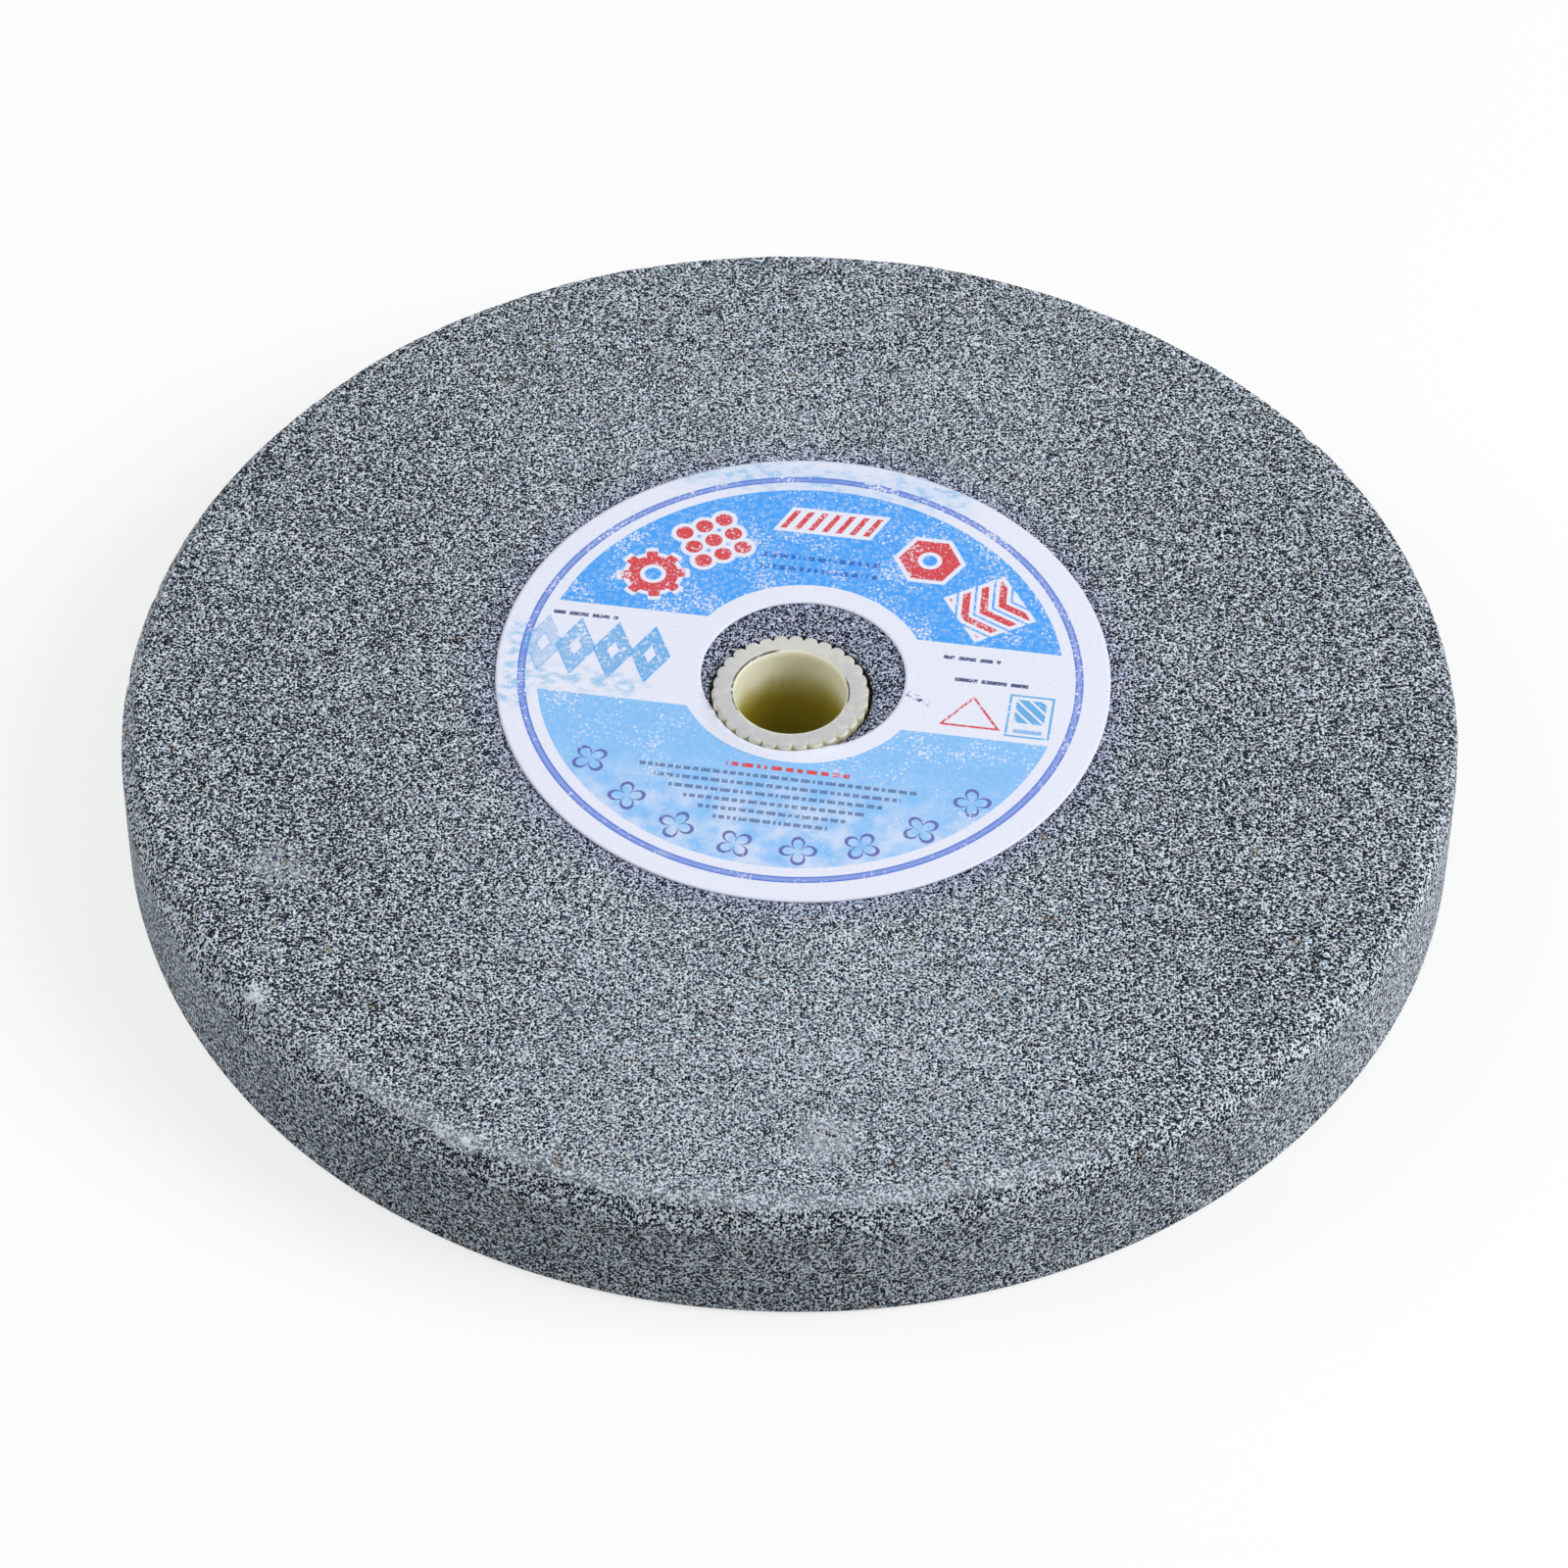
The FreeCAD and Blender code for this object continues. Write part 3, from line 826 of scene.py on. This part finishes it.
def stamped_marks(sheet, label):
    """Stamped diamonds, a triangle, a striped block, and small violet shapes on an arc."""
    add = sheet.add
    place = sheet.place

    # Four slanted diamonds with open middles, the first ones weakly stamped.
    blotted = sheet.patches(place, 0.6, 0.28, 0.48, 4.0, 7.0)
    for along, strength in ((-29.7, 0.45), (-26.0, 0.8), (-21.7, 0.9), (-17.5, 0.95)):
        x, y = sheet.seen_from((along, 0.2))
        slanted = sheet.total(0.0, (y, 0.52 * 0.88), (x, 0.88))
        distance = sheet.off(slanted, 1.35)
        sheet.mark(label.stamp, distance, blotted, strength, size=0.72, edge=0.12)
        sheet.mark(label.field, sheet.off(distance, 0.62), blotted, strength, 0.6, size=0.10)

    # An empty triangle, a striped block over a bar in a frame, and flecks by the hub.
    outline = sheet.patches(place, 0.5, 0.30, 0.42, 3.0, 10.0)
    x, y = sheet.seen_from((19.5, -0.9), fold=False)
    side = sheet.total(0.0, (sheet.off(x, 0.0), 0.815), (y, 0.58))
    foot = add("Math", [-4.5, y], "SUBTRACT")
    triangle = add("Math", [side, foot], "MAXIMUM")
    sheet.mark(label.red, sheet.off(triangle, 0.0), outline, size=0.15)

    sheet.mark(label.stamp, sheet.off(sheet.box((26.0, -2.95), (2.4, 3.15)), 0.0), size=0.14)
    x, y = sheet.seen_from((26.0, -2.2), fold=False)
    stripe = add("Math", [x, y], "ADD")
    stripe = add("Math", [stripe, 0.8], "PINGPONG")
    stripe = add("MapRange", [stripe, 0.15, 0.25])
    sheet.mark(label.stamp, sheet.box((26.0, -2.2), (1.7, 1.8)), stripe)
    sheet.mark(label.stamp, sheet.box((26.0, -5.3), (1.6, 0.3)), 0.8)
    flecks = sheet.patches(place, 0.5, 0.52, 0.60, 2.0, 8.0)
    scratch = sheet.box((13.4, -2.0), (1.5, 0.5), math.radians(-28))
    sheet.mark(label.fine_print, scratch, flecks, edge=0.25)

    # Eight four-leaved shapes on an arc below, by turns upright and turned.
    step = math.radians(14.79)
    first = math.radians(142) / step
    angle_round = add("Math", [sheet.v, sheet.u], "ARCTAN2")
    along = add("Math", [angle_round, 1 / step, first], "MULTIPLY_ADD")
    count = add("Math", [along], "ROUND")
    odd = add("Math", [count, 1.0], "PINGPONG")
    x = add("Math", [sheet.off(along, count), step * ARC_RADIUS], "MULTIPLY")
    y = sheet.off(sheet.radius(), ARC_RADIUS)
    radius = sheet.span(x, y)
    product = add("Math", [x, y], "MULTIPLY")
    total = add("Math", [x, y], "ADD")
    turned = add("Math", [sheet.off(x, y), total], "MULTIPLY")
    turned = add("Math", [turned, 0.5], "MULTIPLY")
    leaf = add("Mix", {0: odd, 2: turned, 3: product})
    leaf = add("Math", [leaf], "SQRT")
    leaf = add("Math", [leaf, 2.7], "MULTIPLY")
    leaf = add("Math", [leaf, radius], "DIVIDE")
    eight = add("MapRange", [sheet.off(count, 3.5), 3.9, 3.7])
    sheet.mark(label.violet, sheet.off(radius, leaf), eight, sheet.thin_ink, 0.85, size=0.22)


def rubbed(sheet, label):
    """Wear over all the print: small white specks and scratches, thicker in patches, and
    fewest in the lower field."""
    add = sheet.add
    place = sheet.place
    patch = add("TexNoise", {"Vector": place, "Scale": 1 / 5.5, "Detail": 3.0})
    spared = add("MapRange", [sheet.v, -9.0, -15.0, 0.0, 0.12])
    patch = add("Math", [patch, spared], "SUBTRACT")
    bent = add("TexNoise", {"Vector": place, "Scale": 1 / 0.3, "Detail": 2.0}).outputs["Color"]
    bent = add("VectorMath", [bent, (0.4, 0.4, 0.0), place], "MULTIPLY_ADD")
    spacing = 0.45
    cells = add("TexVoronoi", {"Vector": bent, "Scale": 1 / spacing}, voronoi_dimensions="2D")
    luck = add("SeparateColor", [cells.outputs["Color"]])
    limit = add("MapRange", [patch, 0.32, 0.68, 0.91, 0.41], interpolation_type="LINEAR")
    room = add("Math", [luck.outputs[0], limit], "SUBTRACT")
    speck = add("Math", [room, 0.9], "MULTIPLY")
    speck = add("Math", [speck, cells.outputs["Distance"]], "SUBTRACT")
    sheet.lay(label.paper, add("MapRange", [speck, -0.14, 0.14, 0.0, 0.9]))
    fine = add("TexNoise", {"Vector": place, "Scale": 1 / 0.40, "Detail": 5.0})
    limit = add("Math", [patch, -0.65, 0.95], "MULTIPLY_ADD")
    worn = add("Math", [fine, limit], "SUBTRACT")
    sheet.lay(label.paper, add("MapRange", [worn, -0.05, 0.08, 0.0, 0.75]))
    sheet.lay(label.field, sheet.patches(place, 0.5, 0.50, 0.75, 5.0, 14.0), 0.12)


def printed_paper(label):
    """Coated paper, printed in flat inks and rubbed: smooth and slightly glossy, with white
    specks where ink is gone and blue where it smeared."""
    material = bpy.data.materials.new("coated_paper_printed_and_rubbed")
    sheet = Print(material, label)
    printed_fields(sheet, label)
    printed_marks(sheet, label)
    stamped_marks(sheet, label)
    rubbed(sheet, label)
    press = sheet.add("TexNoise", {"Vector": sheet.place, "Scale": 1 / 0.6, "Detail": 3.0})
    bump = sheet.add("Bump", {"Height": press, "Strength": 0.25, "Distance": 0.05 * MM})
    surface = sheet.add("BsdfPrincipled", {
        "Base Color": sheet.base, "Roughness": 0.5, "IOR": 1.5, "Specular IOR Level": 0.4,
        "Normal": bump})
    sheet.add("OutputMaterial", [surface])
    return material


def studio_floor(studio):
    """Matt backdrop paper, which shows white to the camera and keeps the wheel's shadow."""
    material = bpy.data.materials.new("backdrop_paper_matt")
    shader = Shader(material)
    rays = shader.add("LightPath")
    lit = shader.add("BsdfDiffuse", {"Color": tuple(studio.floor)})
    pale = shader.add("BsdfDiffuse", {"Color": linear("#FFFFFF")})
    white = shader.add("Emission", {"Color": linear("#FFFFFF"), "Strength": 1.0})
    shown = shader.add("MixShader", [0.72, pale, white])
    surface = shader.add("MixShader", [rays.outputs["Is Camera Ray"], lit, shown])
    shader.add("OutputMaterial", [surface])
    return material


def soft_lamp(name, place, power):
    """A square lamp that looks at the wheel."""
    lamp = bpy.data.lights.new(name, "AREA")
    lamp.size = LAMP_SIZE
    lamp.energy = power
    holder = placed(name, lamp)
    holder.location = place
    holder.rotation_euler = (-Vector(place)).to_track_quat("-Z", "Y").to_euler()


def studio_world(studio):
    """Even light from all round, seen as white by the camera."""
    world = bpy.data.worlds.new("studio")
    shader = Shader(world)
    rays = shader.add("LightPath")
    dim = shader.add("Background", [linear("#FFFFFF"), studio.sky])
    white = shader.add("Background", [linear("#FFFFFF"), 1.0])
    light = shader.add("MixShader", [rays.outputs["Is Camera Ray"], dim, white])
    shader.add("OutputWorld", [light])
    bpy.context.scene.world = world


def studio_camera(studio):
    """The camera, at the photograph's angle, distance and lens."""
    camera = bpy.data.cameras.new("camera")
    camera.sensor_width = 36.0
    camera.lens = studio.lens
    camera.clip_start = 0.01
    holder = placed("camera", camera)
    aim = Vector((studio.aim_right, studio.aim_back, FACE_HEIGHT))
    back = Vector((0, -math.cos(studio.elevation), math.sin(studio.elevation)))
    tilt = Matrix.Rotation(math.pi / 2 - studio.elevation, 4, "X")
    roll = Matrix.Rotation(studio.roll, 4, "Z")
    holder.matrix_world = Matrix.Translation(aim + back * studio.distance) @ tilt @ roll
    bpy.context.scene.camera = holder


class BuildStone(bpy.types.Operator):
    """Builds the abrasive disc"""

    bl_idname = "grinding_wheel.stone"
    bl_label = "Abrasive disc"

    def execute(self, context):
        piece = worn_disc(context.scene.wheel_stone)
        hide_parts("abrasive_wheel")
        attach(piece, "root")
        return {"FINISHED"}


class BuildBush(bpy.types.Operator):
    """Builds the toothed nylon bush"""

    bl_idname = "grinding_wheel.bush"
    bl_label = "Nylon bush"

    def execute(self, context):
        piece = toothed_bush(context.scene.wheel_bush)
        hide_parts("bush")
        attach(piece, "root")
        return {"FINISHED"}


class BuildLabel(bpy.types.Operator):
    """Builds the printed paper label"""

    bl_idname = "grinding_wheel.label"
    bl_label = "Paper label"

    def execute(self, context):
        piece = paper_sheet(context.scene.wheel_label)
        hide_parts("paper_label")
        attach(piece, "root")
        return {"FINISHED"}


class BuildStudio(bpy.types.Operator):
    """Sets up the floor, the lamps and the camera"""

    bl_idname = "grinding_wheel.studio"
    bl_label = "Studio"

    def execute(self, context):
        studio = context.scene.wheel_studio
        corners = [(FLOOR_HALF * x, FLOOR_HALF * y, 0) for x, y in ((-1, -1), (1, -1), (1, 1), (-1, 1))]
        mesh = bpy.data.meshes.new("floor")
        mesh.from_pydata(corners, [], [(0, 1, 2, 3)])
        mesh.materials.append(studio_floor(studio))
        floor = placed("floor", mesh)
        for name, place, power in LAMPS:
            soft_lamp(name, place, power)
        studio_world(studio)
        studio_camera(studio)
        context.scene.view_settings.view_transform = "Standard"
        return {"FINISHED"}


class WheelPanel(bpy.types.Panel):
    """Lists the pieces and their settings"""

    bl_idname = "VIEW3D_PT_grinding_wheel"
    bl_label = "Grinding Wheel"
    bl_space_type = "VIEW_3D"
    bl_region_type = "UI"
    bl_category = "Grinding Wheel"

    def draw(self, context):
        for operator, settings, name in STEPS:
            box = self.layout.box()
            box.operator(operator.bl_idname)
            for setting in settings.__annotations__:
                box.prop(getattr(context.scene, name), setting)


# What is built, in order, with its settings and their name in the scene.
STEPS = (
    (BuildStone, StoneSettings, "wheel_stone"),
    (BuildBush, BushSettings, "wheel_bush"),
    (BuildLabel, LabelSettings, "wheel_label"),
    (BuildStudio, StudioSettings, "wheel_studio"),
)


def register():
    for operator, settings, name in STEPS:
        bpy.utils.register_class(settings)
        setattr(bpy.types.Scene, name, PointerProperty(type=settings))
        bpy.utils.register_class(operator)
    bpy.utils.register_class(WheelPanel)


def unregister():
    bpy.utils.unregister_class(WheelPanel)
    for operator, settings, name in reversed(STEPS):
        bpy.utils.unregister_class(operator)
        delattr(bpy.types.Scene, name)
        bpy.utils.unregister_class(settings)


def main():
    register()
    bpy.ops.grinding_wheel.stone()
    bpy.ops.grinding_wheel.bush()
    bpy.ops.grinding_wheel.label()
    bpy.ops.grinding_wheel.studio()


if __name__ == "__main__":
    main()
